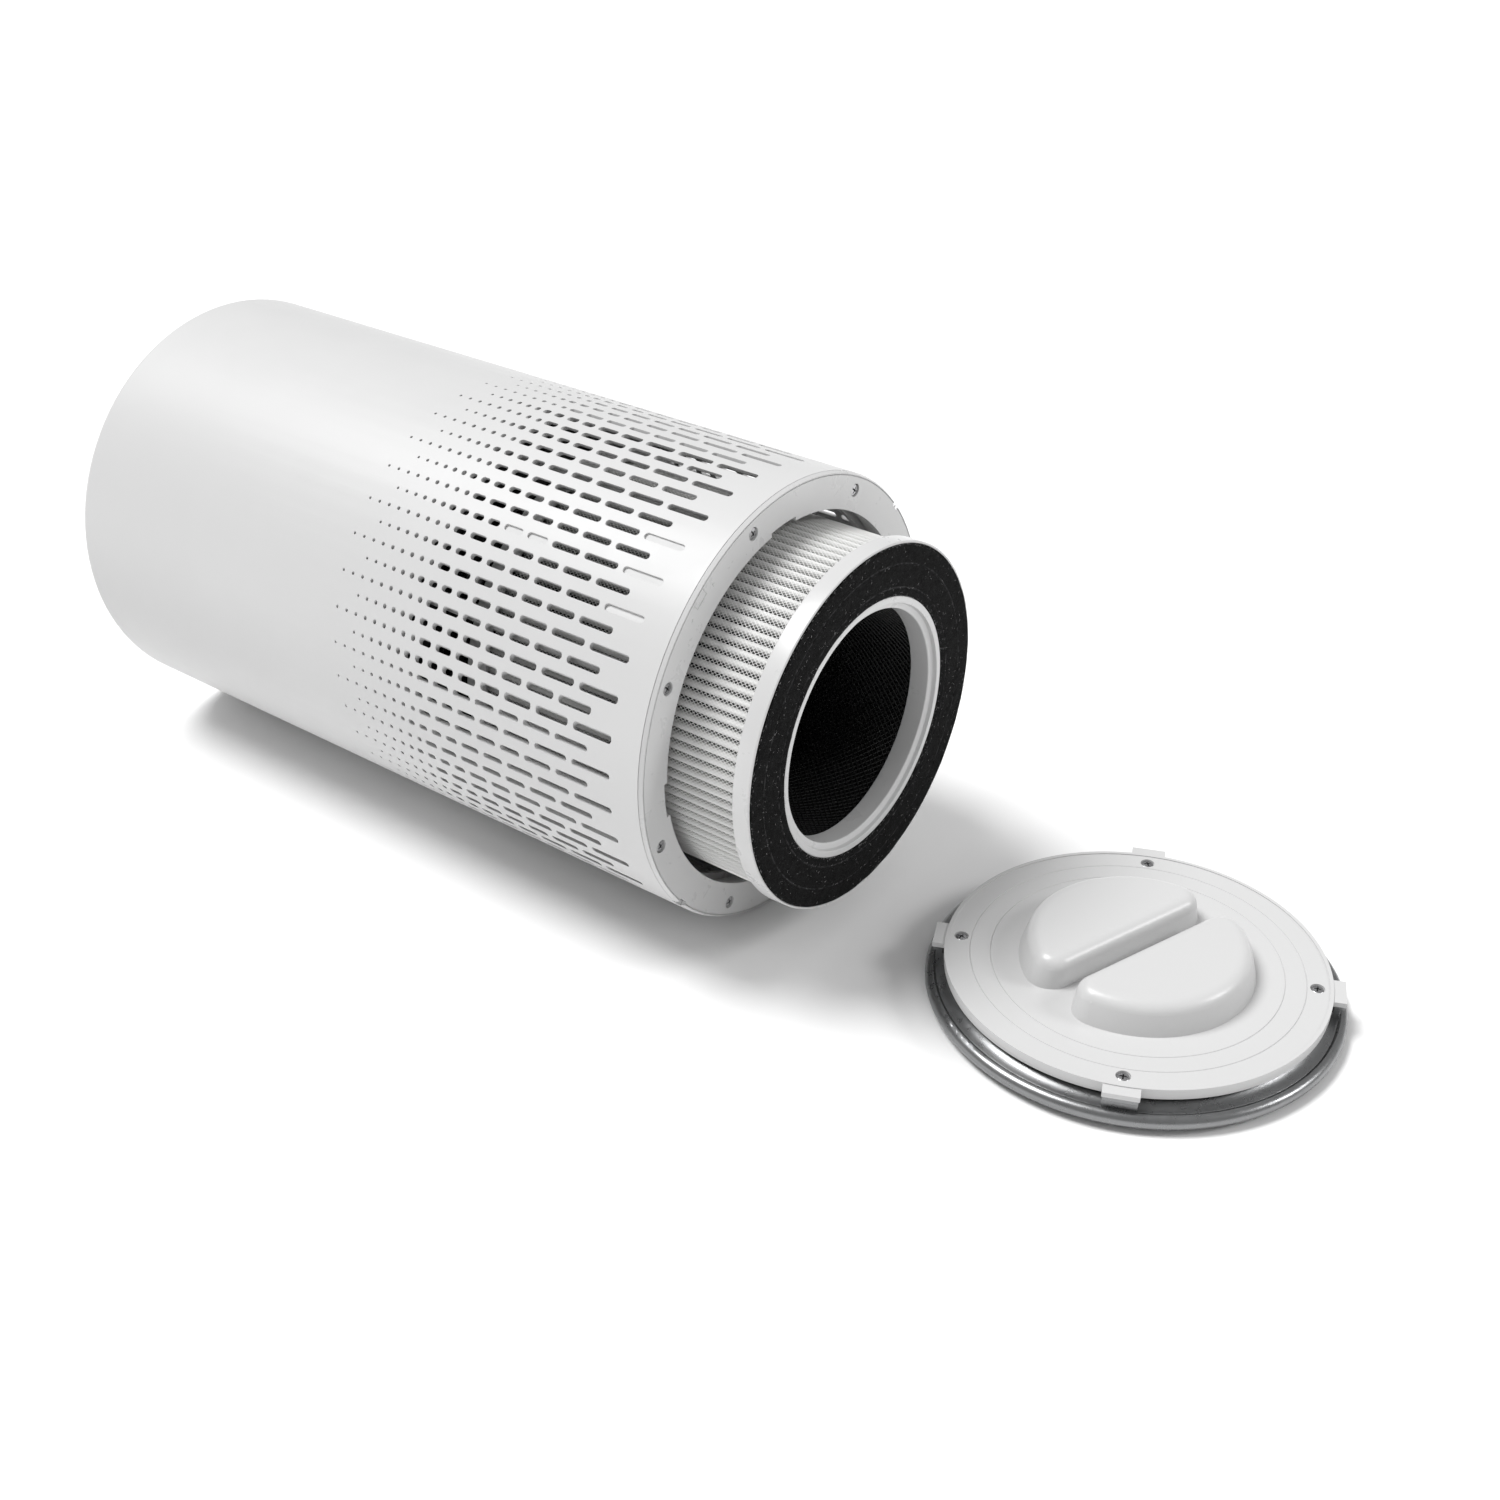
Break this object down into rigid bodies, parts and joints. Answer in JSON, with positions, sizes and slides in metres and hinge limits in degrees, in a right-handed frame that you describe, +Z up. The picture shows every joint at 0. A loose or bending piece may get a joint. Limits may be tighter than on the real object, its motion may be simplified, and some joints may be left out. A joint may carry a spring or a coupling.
{
  "type": "air purifier",
  "caption": "Cylindrical tower air purifier laid on its side, base cover twisted off and lying inner side up, ring filter drawn partly out of the perforated white shell.",
  "frame": {"origin": "on the floor under the middle of the whole group's box, housing lying on its side and cover lying beside its open end", "axes": "+Z up; +X along the housing's axis, from its top (outlet) end towards its open bottom end"},
  "size_m": [0.692, 0.2494, 0.23],
  "materials": {
    "white_shell": "satin moulded, fine grain",
    "white_plastic": "smooth satin",
    "black_plastic": "fine matte",
    "dark_board": "satin solder mask",
    "steel": "zinc plated",
    "silver_paint": "satin metallic",
    "felt": "short nap felt",
    "filter_media": "pleated fibre with net",
    "carbon": "granular",
    "foam": "matte foam",
    "rubber": "matte",
    "light_guide": "milky translucent",
    "black_gloss": "glossy",
    "motor_metal": "cast, satin"
  },
  "bodies": {
    "housing": {"front_shell": "white_shell", "rear_shell": "white_shell", "bottom_ring": "white_plastic", "ring_screws": "steel", "chamber_frame": "white_plastic", "fan_deck": "black_plastic", "deck_screws": "steel", "fan_guard": "black_plastic", "fan_housing": "black_plastic", "motor_cover": "black_plastic", "motor_can": "motor_metal", "motor_bearings": "steel", "motor_screws": "steel", "centre_column": "white_plastic", "outlet_grille": "white_plastic", "control_panel": "white_plastic", "light_ring": "light_guide", "button_switch": "black_plastic", "control_board": "dark_board", "power_board": "dark_board", "power_inlet": "black_plastic", "inlet_pins": "steel", "air_sensor": "black_plastic"},
    "power_button": {"power_button": "black_gloss"},
    "impeller": {"impeller_wheel": "black_plastic", "motor_shaft": "steel", "motor_rotor": "motor_metal", "impeller_nut": "steel"},
    "filter": {"filter_front_cap": "white_plastic", "front_gasket": "felt", "pleated_media": "filter_media", "carbon_layer": "carbon", "filter_core": "black_plastic", "filter_rear_cap": "white_plastic", "rear_gasket": "felt"},
    "cover_seal": {"cover_seal": "foam"},
    "cover": {"base_plate": "silver_paint", "lock_plate": "white_plastic", "foot_ring": "rubber", "cover_screws": "steel"}
  },
  "joints": [
    {"name": "filter_slide", "type": "slide", "parent": "housing", "child": "filter", "axis": [1, 0, 0], "range_m": [-0.0546, 0.15]},
    {"name": "cover_swing", "type": "hinge", "parent": "filter", "child": "cover_seal", "pos_m": [0.12772, 0.01001, -0.00142], "axis": [0.1405, -0.9801, -0.1405], "range_deg": [0, 91.15]},
    {"name": "cover_twist", "type": "hinge", "parent": "cover_seal", "child": "cover", "pos_m": [0.245, 0.02375, 0.014], "axis": [0, 0, 1], "range_deg": [-12.48, 0]},
    {"name": "impeller_spin", "type": "hinge", "parent": "housing", "child": "impeller", "pos_m": [-0.175, -0.00975, 0.115], "axis": [-1, 0, 0], "continuous": true},
    {"name": "button_press", "type": "slide", "parent": "housing", "child": "power_button", "axis": [1, 0, 0], "range_m": [0, 0.0015], "stiffness_N_per_m": 600, "springref_m": -0.001}
  ]
}
